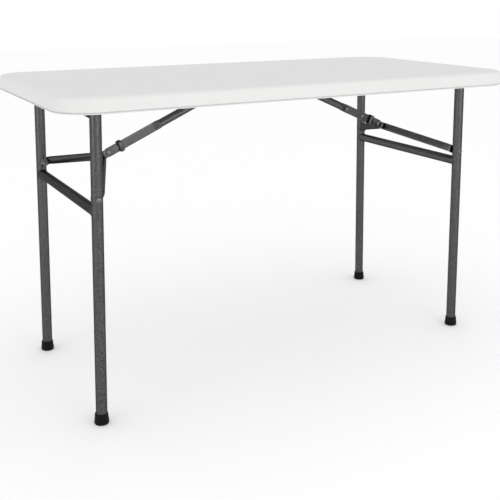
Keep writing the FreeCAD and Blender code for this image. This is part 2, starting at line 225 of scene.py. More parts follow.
# %% Rubber and nylon
def black_rubber():
    material, tree, shader = start_material("vulcanised_black_rubber")
    place = add_node(tree, "ShaderNodeTexCoord").outputs["Object"]
    bloom = add_node(tree, "ShaderNodeTexNoise", inputs={
        "Vector": place, "Scale": 1 / (6.0 * MM), "Detail": 4.0})
    tone = add_node(tree, "ShaderNodeMix", {"data_type": "RGBA"}, {
        "Factor": bloom.outputs["Fac"], 6: srgb("#070708"), 7: srgb("#101011")})
    dull = add_node(tree, "ShaderNodeMapRange", inputs={
        "Value": bloom.outputs["Fac"], "To Min": 0.50, "To Max": 0.70})
    skin = add_node(tree, "ShaderNodeTexNoise", inputs={"Vector": place, "Scale": 1 / (0.8 * MM)})
    relief = add_node(tree, "ShaderNodeBump", inputs={
        "Height": skin.outputs["Fac"], "Distance": 0.05 * MM, "Strength": 0.4})
    tree.links.new(tone.outputs[2], shader.inputs["Base Color"])
    tree.links.new(dull.outputs["Result"], shader.inputs["Roughness"])
    tree.links.new(relief.outputs["Normal"], shader.inputs["Normal"])
    shader.inputs["IOR"].default_value = 1.52
    shader.inputs["Specular IOR Level"].default_value = 0.12
    return material


def black_nylon():
    material, tree, shader = start_material("moulded_black_nylon")
    place = add_node(tree, "ShaderNodeTexCoord").outputs["Object"]
    flow = add_node(tree, "ShaderNodeTexNoise", inputs={"Vector": place, "Scale": 1 / (12.0 * MM)})
    tone = add_node(tree, "ShaderNodeMix", {"data_type": "RGBA"}, {
        "Factor": flow.outputs["Fac"], 6: srgb("#151516"), 7: srgb("#222223")})
    satin = add_node(tree, "ShaderNodeMapRange", inputs={
        "Value": flow.outputs["Fac"], "To Min": 0.36, "To Max": 0.46})
    spark = add_node(tree, "ShaderNodeTexNoise", inputs={"Vector": place, "Scale": 1 / (0.6 * MM)})
    relief = add_node(tree, "ShaderNodeBump", inputs={
        "Height": spark.outputs["Fac"], "Distance": 0.03 * MM, "Strength": 0.4})
    tree.links.new(tone.outputs[2], shader.inputs["Base Color"])
    tree.links.new(satin.outputs["Result"], shader.inputs["Roughness"])
    tree.links.new(relief.outputs["Normal"], shader.inputs["Normal"])
    shader.inputs["IOR"].default_value = 1.53
    return material


# %% [markdown]
# ## Finish: zinc-plated steel
# Screws and the anchor rods are bright zinc over steel. Plating has a fine crystal
# mottle that varies the roughness more than the colour. The rivets are dark passivated
# zinc, which dulls with handling, so they only catch a small light spot on the dome.

# %% Zinc plate, and the materials by slot
def zinc_plate():
    material, tree, shader = start_material("bright_zinc_plated_steel")
    place = add_node(tree, "ShaderNodeTexCoord").outputs["Object"]
    mottle = add_node(tree, "ShaderNodeTexVoronoi", inputs={"Vector": place, "Scale": 1 / (1.5 * MM)})
    tone = add_node(tree, "ShaderNodeMix", {"data_type": "RGBA"}, {
        "Factor": mottle.outputs["Distance"], 6: srgb("#C9CACC"), 7: srgb("#AEB0B3")})
    polish = add_node(tree, "ShaderNodeMapRange", inputs={
        "Value": mottle.outputs["Distance"], "To Min": 0.22, "To Max": 0.38})
    tree.links.new(tone.outputs[2], shader.inputs["Base Color"])
    tree.links.new(polish.outputs["Result"], shader.inputs["Roughness"])
    shader.inputs["Metallic"].default_value = 1.0
    return material


def passivated_rivet():
    material, tree, shader = start_material("dark_passivated_zinc_rivet")
    place = add_node(tree, "ShaderNodeTexCoord").outputs["Object"]
    handling = add_node(tree, "ShaderNodeTexNoise", inputs={
        "Vector": place, "Scale": 1 / (2.0 * MM), "Detail": 3.0})
    tone = add_node(tree, "ShaderNodeMix", {"data_type": "RGBA"}, {
        "Factor": handling.outputs["Fac"], 6: srgb("#505154"), 7: srgb("#77787B")})
    polish = add_node(tree, "ShaderNodeMapRange", inputs={
        "Value": handling.outputs["Fac"], "To Min": 0.20, "To Max": 0.36})
    tree.links.new(tone.outputs[2], shader.inputs["Base Color"])
    tree.links.new(polish.outputs["Result"], shader.inputs["Roughness"])
    shader.inputs["Metallic"].default_value = 1.0
    return material


RIVET_FINISH = passivated_rivet()
FINISHES = {
    "white_polyethylene": moulded_polyethylene(),
    "grey_powder_coat": hammered_powder_coat(),
    "black_rubber": black_rubber(),
    "black_nylon": black_nylon(),
    "zinc_steel": zinc_plate(),
}
NODE_SLOT = {entry["node"]: entry["material_slot"] for entry in frame["record"]["subparts"]}
for node_name, node_object in frame["nodes"].items():
    for material_slot in node_object.material_slots:
        material_slot.material = FINISHES[NODE_SLOT[node_name]]
print("finishes:", sorted(m.name for m in FINISHES.values()))

# %% [markdown]
# ## Where each leg frame's parts are
# The two leg frames are the same parts, turned half a turn. So each shape is made once
# in the right frame's own axes, outwards, across and up, and a matrix sets it in place.
# The pivots come from the joints, and the arm's rivet from the leg's rivets.

# %% Places
BODY_OF = {node: body for body, nodes in frame["record"]["behaviour"]["bodies"].items() for node in nodes}
ROOT = BODY_OF["tabletop"]


def joint_place(name):
    x, y, z = JOINTS["right_" + name]["pos_m"]
    return Vector((x, 0, z))


def box_middle(node):
    low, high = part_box(node)
    return (low + high) / 2


ANCHOR = joint_place("link_turn")
KNUCKLE = joint_place("v_turn")
UNIT_SHIFT = JOINTS["right_leg_fold"]["pos_m"][1]
rivets_middle = box_middle("right_leg_rivets")
ARM_PIVOT = Vector((rivets_middle.x, 0, rivets_middle.z))
LINK_LENGTH = (KNUCKLE - ANCHOR).length
ARM_REACH = (ARM_PIVOT - KNUCKLE).length


def unit_matrix(side):
    """From a leg frame's own axes to the table's."""
    turn = 0 if SIDES[side] > 0 else math.pi
    return Matrix.Rotation(turn, 4, "Z") @ Matrix.Translation((0, UNIT_SHIFT, 0))


def frame_along(start, end):
    """Matrix with X from start to end, Y across the table and Z square to both."""
    x = (end - start).normalized()
    y = Vector((0, 1, 0))
    z = x.cross(y)
    return Matrix.Translation(start) @ Matrix((x, y, z)).transposed().to_4x4()


def end_name(side, k):
    """front or back, for the part on side k of a leg frame's own middle."""
    return "front" if k * SIDES[side] < 0 else "back"


print("link", round(LINK_LENGTH / MM, 1), "mm, arm reach", round(ARM_REACH / MM, 1), "mm")

# %% Helpers for meshes
SMOOTH_DEG = 35


def shade(bm, smooth_deg=SMOOTH_DEG):
    """Smooth faces, with a sharp edge wherever the surface bends by more than a limit."""
    for face in bm.faces:
        face.smooth = True
    for edge in bm.edges:
        edge.smooth = len(edge.link_faces) == 2 and edge.calc_face_angle(0) < math.radians(smooth_deg)


def plain_mesh(thing):
    """The mesh of an object with its modifiers applied."""
    return bpy.data.meshes.new_from_object(thing.evaluated_get(bpy.context.evaluated_depsgraph_get()))


def finish_piece(name, bm, slot, body, replaced=(), smooth_deg=SMOOTH_DEG):
    """Turn a bmesh into a piece with its material, its body and its shading."""
    bmesh.ops.recalc_face_normals(bm, faces=bm.faces)
    shade(bm, smooth_deg)
    mesh = bpy.data.meshes.new(name)
    bm.to_mesh(mesh)
    bm.free()
    mesh.materials.append(FINISHES[slot])
    piece = bpy.data.objects.new(name, mesh)
    bpy.context.collection.objects.link(piece)
    return settle(piece, body, replaced)


def settle(piece, body, replaced=()):
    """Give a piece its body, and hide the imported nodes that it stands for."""
    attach(piece, body)
    if replaced:
        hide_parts(*replaced)
    return piece


def skin(bm, rings, closed=False):
    """Join rings of points with quads. An open skin gets a face on each end."""
    loops = [[bm.verts.new(point) for point in ring] for ring in rings]
    count = len(loops[0])
    pairs = list(zip(loops, loops[1:])) + ([(loops[-1], loops[0])] if closed else [])
    for first, second in pairs:
        for i in range(count):
            j = (i + 1) % count
            bm.faces.new((first[i], first[j], second[j], second[i]))
    if not closed:
        bm.faces.new(loops[0])
        bm.faces.new(loops[-1])


def oval(centre, side, up, half_side, half_up, squareness, count=32):
    """Ring of points between an ellipse, squareness 2, and a rounded rectangle."""
    points = []
    for i in range(count):
        angle = 2 * math.pi * (i + 0.5) / count
        c, s = math.cos(angle), math.sin(angle)
        across = math.copysign(abs(c) ** (2 / squareness), c) * half_side
        rise = math.copysign(abs(s) ** (2 / squareness), s) * half_up
        points.append(centre + side * across + up * rise)
    return points


def ease(value):
    """Smooth step from 0 to 1."""
    value = min(max(value, 0.0), 1.0)
    return value * value * (3 - 2 * value)


# %% [markdown]
# ## The moulded top
# The top is one hollow moulding: a deck with a deep rim turned down all round. Its
# outline is a rectangle with round corners, and every level of it is the same outline
# set in by some amount. So the whole shell is a stack of rounded loops that follow one
# profile, from the deck's underside, down inside the rim, round its lip and up to the
# top. Working with loops keeps the curved edge an exact arc. The two halves of the mould
# part just above the lip, which leaves a fine groove all round.

# %% Top: the shell
RIM_WIDTH = 25 * MM
CORNER_RADIUS = 80 * MM
TOP_EDGE_RADIUS = 8.5 * MM
LIP_RADIUS = 2 * MM
GROOVE_DEPTH = 2.6 * MM
GROOVE_HEIGHT = 2.4 * MM
GROOVE_FROM_LIP = 0.3 * MM
GROOVE_SLOPE = 0.4 * MM
CORNER_STEPS = 20

top_low, top_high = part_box("tabletop")
DECK_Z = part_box("right_bearing_front")[1].z


def corner_arcs(reach_a, reach_b, radius, steps):
    """Points (a, b) on a rounded rectangle, from how far out its corners' centres are."""
    arcs = []
    for corner, (sa, sb) in enumerate(((1, 1), (-1, 1), (-1, -1), (1, -1))):
        for step in range(steps + 1):
            angle = math.pi / 2 * (corner + step / steps)
            arcs.append((sa * reach_a + radius * math.cos(angle), sb * reach_b + radius * math.sin(angle)))
    return arcs


def rounded_loop(inset, z):
    """The top's outline, set in by inset, at a height."""
    radius = CORNER_RADIUS - inset
    half_x, half_y = top_high.x - inset - radius, top_high.y - inset - radius
    return [Vector((x, y, z)) for x, y in corner_arcs(half_x, half_y, radius, CORNER_STEPS)]


def bend(inset, z, radius, start_deg, end_deg, steps=8):
    """Profile points on an arc round (inset, z). 0 degrees points inwards, 90 up."""
    angles = [math.radians(start_deg + (end_deg - start_deg) * i / steps) for i in range(steps + 1)]
    return [(inset + radius * math.cos(a), z + radius * math.sin(a)) for a in angles]


profile = bend(RIM_WIDTH + LIP_RADIUS, DECK_Z - LIP_RADIUS, LIP_RADIUS, 90, 180)
profile += bend(RIM_WIDTH - LIP_RADIUS, top_low.z + LIP_RADIUS, LIP_RADIUS, 0, -90)
profile += bend(LIP_RADIUS, top_low.z + LIP_RADIUS, LIP_RADIUS, 270, 180)
profile += [(inset, top_low.z + LIP_RADIUS + rise) for rise, inset in (
    (GROOVE_FROM_LIP, 0), (2 * GROOVE_FROM_LIP, GROOVE_DEPTH),
    (GROOVE_HEIGHT, GROOVE_DEPTH), (GROOVE_HEIGHT + GROOVE_SLOPE, 0))]
profile += bend(TOP_EDGE_RADIUS, top_high.z - TOP_EDGE_RADIUS, TOP_EDGE_RADIUS, 180, 90, 10)
shell = bmesh.new()
skin(shell, [rounded_loop(inset, z) for inset, z in profile])
print("top profile:", len(profile), "levels")

# %% [markdown]
# ## The underside: brace pockets and tack-offs
# The folded brace lies in a channel in the underside. Around it the two skins of the
# moulding touch in hundreds of small cones, called tack-offs, which stiffen the deck.
# They repeat on a grid, so a small Geometry Nodes tree sets one cone on each point, and
# a boolean takes the cones and the channels out of the deck.

# %% Top: tack-off cones
TACK_PITCH = 42 * MM
TACK_MOUTH = 9 * MM
TACK_FLOOR = 5 * MM
TACK_DEPTH = 8 * MM
TACK_MARGIN = 14 * MM
SKIN_GAP = 1 * MM


def new_tree(name, inputs):
    """Geometry Nodes tree with a geometry input, the named sizes, and an output."""
    tree = bpy.data.node_groups.new(name, "GeometryNodeTree")
    face = tree.interface
    face.new_socket("Geometry", in_out="INPUT", socket_type="NodeSocketGeometry")
    for label, (kind, value) in inputs.items():
        socket = face.new_socket(label, in_out="INPUT", socket_type=kind)
        if value is not None:
            socket.default_value = value
    face.new_socket("Geometry", in_out="OUTPUT", socket_type="NodeSocketGeometry")
    return tree, add_node(tree, "NodeGroupInput").outputs


def close_tree(tree, geometry, material):
    """End a tree the same way each time: real geometry with its material."""
    real = add_node(tree, "GeometryNodeRealizeInstances", inputs={"Geometry": geometry})
    painted = add_node(tree, "GeometryNodeSetMaterial", inputs={
        "Geometry": real.outputs["Geometry"], "Material": material})
    add_node(tree, "NodeGroupOutput", inputs={"Geometry": painted.outputs["Geometry"]})


def grow_mesh(name, base_mesh, tree, values):
    """Run a tree on a mesh with the given inputs and return the plain mesh it makes."""
    base = bpy.data.objects.new(name, base_mesh)
    bpy.context.collection.objects.link(base)
    modifier = base.modifiers.new(name, "NODES")
    modifier.node_group = tree
    for item in tree.interface.items_tree:
        if item.in_out == "INPUT" and item.name in values:
            modifier[item.identifier] = values[item.name]
    made = plain_mesh(base)
    made.name = name
    base.modifiers.clear()
    bpy.data.objects.remove(base)
    return made


cone_tree, cone_in = new_tree("tack_off_cones", {
    "Mouth Radius": ("NodeSocketFloat", TACK_MOUTH),
    "Floor Radius": ("NodeSocketFloat", TACK_FLOOR),
    "Depth": ("NodeSocketFloat", TACK_DEPTH)})
cone = add_node(cone_tree, "GeometryNodeMeshCone", inputs={
    "Vertices": 16, "Radius Bottom": cone_in["Mouth Radius"],
    "Radius Top": cone_in["Floor Radius"], "Depth": cone_in["Depth"]})
cones = add_node(cone_tree, "GeometryNodeInstanceOnPoints", inputs={
    "Points": cone_in["Geometry"], "Instance": cone.outputs["Mesh"]})
close_tree(cone_tree, cones.outputs["Instances"], FINISHES["white_polyethylene"])


def near_box(x, y, low, high):
    """Whether a tack-off at x, y would touch a box or stand too close to it."""
    return (low[0] - TACK_MARGIN < x < high[0] + TACK_MARGIN
            and low[1] - TACK_MARGIN < y < high[1] + TACK_MARGIN)


keep_out = [OPENINGS[side + part] for side in SIDES for part in ("_brace_channel", "_brace_pocket")]
keep_out += [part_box(node) for node in BODY_OF if "bearing_" in node or "anchor_" in node]
deck_half = [half - RIM_WIDTH - LIP_RADIUS - TACK_MARGIN for half in (top_high.x, top_high.y)]
columns, rows = (int(half // TACK_PITCH) for half in deck_half)
tack_points = []
for column in range(-columns, columns + 1):
    for row in range(-rows, rows + 1):
        x, y = column * TACK_PITCH, row * TACK_PITCH
        far_corner = math.hypot(max(abs(x) - deck_half[0] + CORNER_RADIUS / 2, 0),
                                max(abs(y) - deck_half[1] + CORNER_RADIUS / 2, 0))
        if far_corner < CORNER_RADIUS / 2 and not any(near_box(x, y, *box) for box in keep_out):
            tack_points.append((x, y, DECK_Z - SKIN_GAP))
tack_base = bpy.data.meshes.new("tack_points")
tack_base.from_pydata(tack_points, [], [])
tack_cones = grow_mesh("tack_off_cones", tack_base, cone_tree, {
    "Mouth Radius": TACK_MOUTH, "Floor Radius": TACK_FLOOR, "Depth": TACK_DEPTH + SKIN_GAP})
print("tack-offs:", len(tack_points))

# %% Top: cut the pockets and cones, and finish it
POCKET_MARGIN = 1.5 * MM
POCKET_CORNER = 6 * MM
CHANNEL_REACH = 18 * MM
SMALL_CORNER_STEPS = 6


def pocket_block(low, high):
    """Block with rounded upright corners for one stretch of a brace pocket."""
    block = bmesh.new()
    x0, y0, x1, y1 = low[0], low[1], high[0], high[1]
    middle = Vector(((x0 + x1) / 2, (y0 + y1) / 2, 0))
    half_x, half_y = (x1 - x0) / 2 + POCKET_MARGIN, (y1 - y0) / 2 + POCKET_MARGIN
    ring = corner_arcs(half_x - POCKET_CORNER, half_y - POCKET_CORNER, POCKET_CORNER, SMALL_CORNER_STEPS)
    skin(block, [[middle + Vector((x, y, z)) for x, y in ring] for z in (low[2], high[2])])
    bmesh.ops.recalc_face_normals(block, faces=block.faces)
    mesh = bpy.data.meshes.new("pocket_block")
    block.to_mesh(mesh)
    block.free()
    return mesh


def channel_box(side):
    """The narrow channel, from behind the anchor rod to past the folded knuckle."""
    low, high = OPENINGS[side + "_brace_channel"]
    inner = SIDES[side] * box_middle(side + "_anchor_rod").x - CHANNEL_REACH
    xs = sorted((SIDES[side] * inner, low[0], high[0]))
    return (xs[0], low[1], low[2]), (xs[-1], high[1], high[2])


cutters = [tack_cones]
for side in SIDES:
    cutters.append(pocket_block(*channel_box(side)))
    cutters.append(pocket_block(*OPENINGS[side + "_brace_pocket"]))
tabletop = finish_piece("moulded_top", shell, "white_polyethylene", ROOT, ["tabletop"])
for number, mesh in enumerate(cutters):
    cutter = bpy.data.objects.new("cutter", mesh)
    bpy.context.collection.objects.link(cutter)
    cut = tabletop.modifiers.new("cut", "BOOLEAN")
    cut.operation = "DIFFERENCE"
    cut.object = cutter
    cut_top = plain_mesh(tabletop)
    tabletop.modifiers.clear()
    tabletop.data = cut_top
    bpy.data.objects.remove(cutter)
smooth_top = bmesh.new()
smooth_top.from_mesh(tabletop.data)
shade(smooth_top)
for face in smooth_top.faces:
    face.material_index = 0
smooth_top.to_mesh(tabletop.data)
smooth_top.free()
tabletop.data.materials.clear()
tabletop.data.materials.append(FINISHES["white_polyethylene"])
weighted = tabletop.modifiers.new("even_normals", "WEIGHTED_NORMAL")
weighted.keep_sharp = True
print("top faces:", len(tabletop.data.polygons))

# %% [markdown]
# ## The link: a tube pressed flat
# Each link starts as a round tube at the anchor and is pressed into a flat paddle for
# the last third, with a round end at the knuckle. One row of rings does both: each ring
# is an oval whose two half sizes and squareness change from the tube's to the paddle's
# at an even rate, which leaves the sharp facet of a press tool at the neck.
# The anchor end is left open, with the tube's wall showing.

# %% Links
TUBE_RADIUS = 10 * MM
TUBE_WALL = 1.5 * MM
LINK_OVERHANG = 12 * MM
PADDLE_HALF_HEIGHT = 11.3 * MM
PADDLE_HALF = 1.5 * MM
PADDLE_LENGTH = 129.6 * MM
NECK_LENGTH = 18 * MM
BORE_DEPTH = 20 * MM
TIP_LEAST = 0.2 * MM
NECK_STEPS, PADDLE_STEPS, TIP_STEPS = 14, 6, 10
ROUND, BOXY = 2, 8
ACROSS, RISE = Vector((0, 1, 0)), Vector((0, 0, 1))


def link_rings():
    """Rings along the link, in its own axes, from inside the open end outwards."""
    rings = []
    bore = TUBE_RADIUS - TUBE_WALL
    for x, radius in ((BORE_DEPTH, bore), (0, bore), (-LINK_OVERHANG, bore), (-LINK_OVERHANG, TUBE_RADIUS)):
        rings.append(oval(Vector((x, 0, 0)), ACROSS, RISE, radius, radius, ROUND))
    flat = LINK_LENGTH - PADDLE_LENGTH
    stations = [flat - NECK_LENGTH + NECK_LENGTH * i / NECK_STEPS for i in range(NECK_STEPS + 1)]
    stations += [flat + PADDLE_LENGTH * i / PADDLE_STEPS for i in range(1, PADDLE_STEPS + 1)]
    for x in stations:
        press = min((x - flat + NECK_LENGTH) / NECK_LENGTH, 1.0)
        side = TUBE_RADIUS + (PADDLE_HALF - TUBE_RADIUS) * press
        up = TUBE_RADIUS + (PADDLE_HALF_HEIGHT - TUBE_RADIUS) * press
        rings.append(oval(Vector((x, 0, 0)), ACROSS, RISE, side, up, ROUND + (BOXY - ROUND) * press))
    for i in range(1, TIP_STEPS + 1):
        angle = math.pi / 2 * i / TIP_STEPS
        x = LINK_LENGTH + PADDLE_HALF_HEIGHT * math.sin(angle)
        up = max(PADDLE_HALF_HEIGHT * math.cos(angle), TIP_LEAST)
        rings.append(oval(Vector((x, 0, 0)), ACROSS, RISE, PADDLE_HALF, up, BOXY))
    return rings


LINK_SMOOTH_DEG = 14
link_axes = frame_along(ANCHOR, KNUCKLE)
for side in SIDES:
    bm = bmesh.new()
    skin(bm, link_rings())
    bm.transform(unit_matrix(side) @ link_axes)
    finish_piece(side + "_pressed_link", bm, "grey_powder_coat", BODY_OF[side + "_brace_link"],
                 [side + "_brace_link"], LINK_SMOOTH_DEG)
print("link rings:", len(link_rings()))

# %% [markdown]
# ## The V arms: pressed tubes with flat ends
# An arm leaves the knuckle as a flat ear beside the paddle, swells into a tube, and is
# pressed flat again where it lies against the leg. It is swept along a path in the V's
# own plane with two rounded bends. Its section changes with the distance along the
# path, which is how a press shapes the real one.

# %% V arms
EAR_MIDDLE = 2.8 * MM
EAR_HALF = 1.0 * MM
EAR_REACH = 31.5 * MM
TAIL_TIP_HALF = 4.5 * MM
ARM_ROOT = 16 * MM
ARM_HALF_WIDTH = 6.5 * MM
ARM_HALF_HEIGHT = 10 * MM
TAB_HALF = 1.5 * MM
TAB_SETBACK = 15 * MM
PRESS_LENGTH = 24 * MM
BEND_RADIUS = 9 * MM
BEND_STEPS = 8
RING_SPACING = 4 * MM
PRESS_LEAD = 4 * MM
TAIL_LENGTH = EAR_REACH - 7 * MM
EAR_HALF_HEIGHT = ARM_HALF_HEIGHT - 2 * MM
ARM_TIP_LEAST = 0.3 * MM
ARM_SQUARENESS = 3.2
TAB_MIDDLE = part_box("right_v_arm_back")[1].y - UNIT_SHIFT - TAB_HALF


def rounded_path(points, radius, spacing):
    """Points along straight runs with an arc at each corner, and their distances."""
    path = [points[0]]
    for before, corner, after in zip(points, points[1:], points[2:]):
        into, out = (corner - before).normalized(), (after - corner).normalized()
        turn = into.angle(out)
        trim = radius * math.tan(turn / 2)
        start = corner - into * trim
        inward = (out - into * into.dot(out)).normalized()
        for i in range(BEND_STEPS + 1):
            angle = turn * i / BEND_STEPS
            path.append(start + into * radius * math.sin(angle) + inward * radius * (1 - math.cos(angle)))
    path.append(points[-1])
    dense = [path[0]]
    for first, second in zip(path, path[1:]):
        steps = max(1, round((second - first).length / spacing))
        dense += [first.lerp(second, i / steps) for i in range(1, steps + 1)]
    travel = [0.0]
    for first, second in zip(dense, dense[1:]):
        travel.append(travel[-1] + (second - first).length)
    return dense, travel


def arm_rings(k):
    """Rings of one arm in the V's axes: X from the knuckle towards the leg."""
    corners = [(-EAR_REACH, EAR_MIDDLE), (ARM_ROOT, EAR_MIDDLE),
               (ARM_REACH - TAB_SETBACK, TAB_MIDDLE), (ARM_REACH + ARM_HALF_HEIGHT, TAB_MIDDLE)]
    path, travel = rounded_path([Vector((x, k * y, 0)) for x, y in corners], BEND_RADIUS, RING_SPACING)
    swell_start = EAR_REACH + ARM_ROOT - PRESS_LEAD
    press_end = travel[-1] - ARM_HALF_HEIGHT - TAB_SETBACK + PRESS_LEAD
    tip = travel[-1] - ARM_HALF_HEIGHT
    rings = []
    for i, (point, distance) in enumerate(zip(path, travel)):
        ahead = (path[min(i + 1, len(path) - 1)] - path[max(i - 1, 0)]).normalized()
        sideways = Vector((-ahead.y, ahead.x, 0))
        swell = ease((distance - swell_start) / PRESS_LENGTH)
        press = ease((distance - press_end + PRESS_LENGTH) / PRESS_LENGTH)
        width = EAR_HALF + (ARM_HALF_WIDTH - EAR_HALF) * swell
        width += (TAB_HALF - ARM_HALF_WIDTH) * press
        tail = ease(distance / TAIL_LENGTH)
        height = TAIL_TIP_HALF + (EAR_HALF_HEIGHT - TAIL_TIP_HALF) * tail
        height += (ARM_HALF_HEIGHT - height) * ease((distance - EAR_REACH) / ARM_ROOT)
        if distance > tip:
            past = (distance - tip) / ARM_HALF_HEIGHT
            height = max(ARM_HALF_HEIGHT * math.sqrt(max(1 - past * past, 0)), ARM_TIP_LEAST)
        squareness = ARM_SQUARENESS + (BOXY - ARM_SQUARENESS) * max(1 - swell, press)
        rings.append(oval(point, sideways, RISE, width, height, squareness))
    return rings


v_axes = frame_along(KNUCKLE, ARM_PIVOT)
for side in SIDES:
    for k in (-1, 1):
        end = end_name(side, k)
        bm = bmesh.new()
        skin(bm, arm_rings(k))
        bm.transform(unit_matrix(side) @ v_axes)
        finish_piece(side + "_pressed_arm_" + end, bm, "grey_powder_coat",
                     BODY_OF[side + "_v_arm_" + end], [side + "_v_arm_" + end])
print("arm tabs:", round(TAB_MIDDLE / MM, 1), "mm from the leg frame's middle")

# %% [markdown]
# ## The lock ring
# A strip of steel is bent round and welded into a rectangular band, which slides on the
# paddle and slips over the tails of the two ears. Its corners keep the radius of the
# bend, and its cut edges are broken slightly.

# %% Lock rings
RING_LENGTH = 10 * MM
RING_HALF_Y = 9.3 * MM
RING_HALF_Z = 13.7 * MM
RING_WALL = 2 * MM
RING_CORNER = 4 * MM
RING_FROM_KNUCKLE = 33.4 * MM
EDGE_BREAK = 0.5 * MM


def band_loop(x, inset):
    """Rounded rectangle at x, set in from the band's outside."""
    arcs = corner_arcs(RING_HALF_Y - RING_CORNER, RING_HALF_Z - RING_CORNER, RING_CORNER - inset,
                       SMALL_CORNER_STEPS)
    return [Vector((x, y, z)) for y, z in arcs]


TURNED_SMOOTH_DEG = 50
ring_x = LINK_LENGTH - RING_FROM_KNUCKLE
x0, x1 = ring_x - RING_LENGTH / 2, ring_x + RING_LENGTH / 2
band_profile = [(x0 + EDGE_BREAK, 0), (x1 - EDGE_BREAK, 0), (x1, EDGE_BREAK), (x1, RING_WALL - EDGE_BREAK),
                (x1 - EDGE_BREAK, RING_WALL), (x0 + EDGE_BREAK, RING_WALL),
                (x0, RING_WALL - EDGE_BREAK), (x0, EDGE_BREAK)]
for side in SIDES:
    bm = bmesh.new()
    skin(bm, [band_loop(x, inset) for x, inset in band_profile], closed=True)
    bm.transform(unit_matrix(side) @ link_axes)
    finish_piece(side + "_lock_band", bm, "grey_powder_coat", BODY_OF[side + "_lock_ring"],
                 [side + "_lock_ring"], TURNED_SMOOTH_DEG)
print("band middle:", round(ring_x / MM, 1), "mm along the link")

# %% [markdown]
# ## The foot caps
# A rubber cap is turned in outline, so it is a profile spun round the leg's foot. The
# wall tapers up to a soft lip that grips the tube, the lower edge is well rounded, and
# one groove under the foot gives it tread, round a shallow dish in the middle.

# %% Foot caps
CAP_STEPS = 40
CAP_PROFILE_MM = [
    (4.0, 0.6), (4.6, 0.0), (7.2, 0.0), (7.7, 1.0), (8.7, 1.0), (9.2, 0.0), (12.4, 0.0),
    (14.2, 0.25), (15.6, 1.1), (16.4, 2.6), (16.6, 4.4), (16.3, 8.0), (15.5, 15.0), (14.9, 20.5),
    (14.9, 21.6), (14.7, 23.6), (14.0, 24.8), (13.3, 25.0), (12.75, 24.6), (12.62, 23.0), (12.62, 18.0)]


def foot_cap(side, end):
    """One cap, its profile turned round the foot. A flat face closes the middle."""
    node = side + "_foot_cap_" + end
    middle = box_middle(node)
    bm = bmesh.new()
    rings = []
    angles = [2 * math.pi * i / CAP_STEPS for i in range(CAP_STEPS)]
    for r, z in CAP_PROFILE_MM:
        rings.append([Vector((middle.x + r * MM * math.cos(a), middle.y + r * MM * math.sin(a), z * MM))
                      for a in angles])
    skin(bm, rings)
    finish_piece(side + "_rubber_cap_" + end, bm, "black_rubber", BODY_OF[node], [node],
                 TURNED_SMOOTH_DEG)


for side in SIDES:
    for end in ("front", "back"):
        foot_cap(side, end)
print("cap radius:", max(r for r, z in CAP_PROFILE_MM), "mm")

# %% [markdown]
# ## Rivets
# A pan rivet is a domed head on a plain shank. The same rivet is used in eight places of
# each leg frame, so one tree makes it from four named sizes and sets it on points. The
# two in the paddle have a head on one face and end flush on the other. Each point
# carries the way its head faces as an attribute. The dome is a ball whose lower half
# is pressed flat. The steps are functions, because the screws use them too.

# %% Rivets
RIVET_HEAD = 7 * MM
RIVET_RISE = 2.5 * MM
RIVET_SHANK = 4 * MM
RIVET_FULLNESS = 0.7


def dome_head(tree, sizes, rings, fullness):
    """Geometry of a ball whose lower half is flat and whose upper half is drawn full."""
    ball = add_node(tree, "GeometryNodeMeshUVSphere", inputs={"Segments": 24, "Rings": rings, "Radius": 1.0})
    spot = add_node(tree, "ShaderNodeSeparateXYZ", inputs={
        0: add_node(tree, "GeometryNodeInputPosition").outputs[0]})
    lifted = add_node(tree, "ShaderNodeMath", {"operation": "MAXIMUM"}, {0: spot.outputs["Z"], 1: 0.0})
    fuller = add_node(tree, "ShaderNodeMath", {"operation": "POWER"}, {0: lifted.outputs[0], 1: fullness})
    unit_spot = add_node(tree, "ShaderNodeCombineXYZ", inputs={
        "X": spot.outputs["X"], "Y": spot.outputs["Y"], "Z": fuller.outputs[0]})
    head_size = add_node(tree, "ShaderNodeCombineXYZ", inputs={
        "X": sizes["Head Radius"], "Y": sizes["Head Radius"], "Z": sizes["Head Height"]})
    head_spot = add_node(tree, "ShaderNodeVectorMath", {"operation": "MULTIPLY"}, {
        0: unit_spot.outputs[0], 1: head_size.outputs[0]})
    return add_node(tree, "GeometryNodeSetPosition", inputs={
        "Geometry": ball.outputs["Mesh"], "Position": head_spot.outputs[0]}).outputs[0]


def add_shank(tree, sizes, head, sides):
    """Geometry of a head with a cylinder hung under it."""
    shank = add_node(tree, "GeometryNodeMeshCylinder", inputs={
        "Vertices": sides, "Radius": sizes["Shank Radius"], "Depth": sizes["Shank Length"]})
    length = add_node(tree, "ShaderNodeCombineXYZ", inputs={"Z": sizes["Shank Length"]})
    drop = add_node(tree, "ShaderNodeVectorMath", {"operation": "SCALE"}, {
        0: length.outputs[0], "Scale": -0.5})
    low_shank = add_node(tree, "GeometryNodeTransform", inputs={
        "Geometry": shank.outputs["Mesh"], "Translation": drop.outputs[0]})
    whole = add_node(tree, "GeometryNodeJoinGeometry")
    for shape in (head, low_shank.outputs[0]):
        tree.links.new(shape, whole.inputs[0])
    return whole.outputs[0]


def stand_on_points(tree, sizes, fastener, finish):
    """End a tree with the fastener on each point, turned the way that the point faces."""
    way = add_node(tree, "GeometryNodeInputNamedAttribute", {"data_type": "FLOAT_VECTOR"}, {"Name": "way"})
    aim = add_node(tree, "FunctionNodeAlignRotationToVector", {"axis": "Z"}, {
        "Vector": way.outputs["Attribute"]})
    placed = add_node(tree, "GeometryNodeInstanceOnPoints", inputs={
        "Points": sizes["Geometry"], "Instance": fastener, "Rotation": aim.outputs[0]})
    close_tree(tree, placed.outputs["Instances"], finish)


def fastener_sizes(head, rise, shank, length):
    """Named sizes of a fastener tree."""
    values = {"Head Radius": head, "Head Height": rise, "Shank Radius": shank, "Shank Length": length}
    return {name: ("NodeSocketFloat", value) for name, value in values.items()}


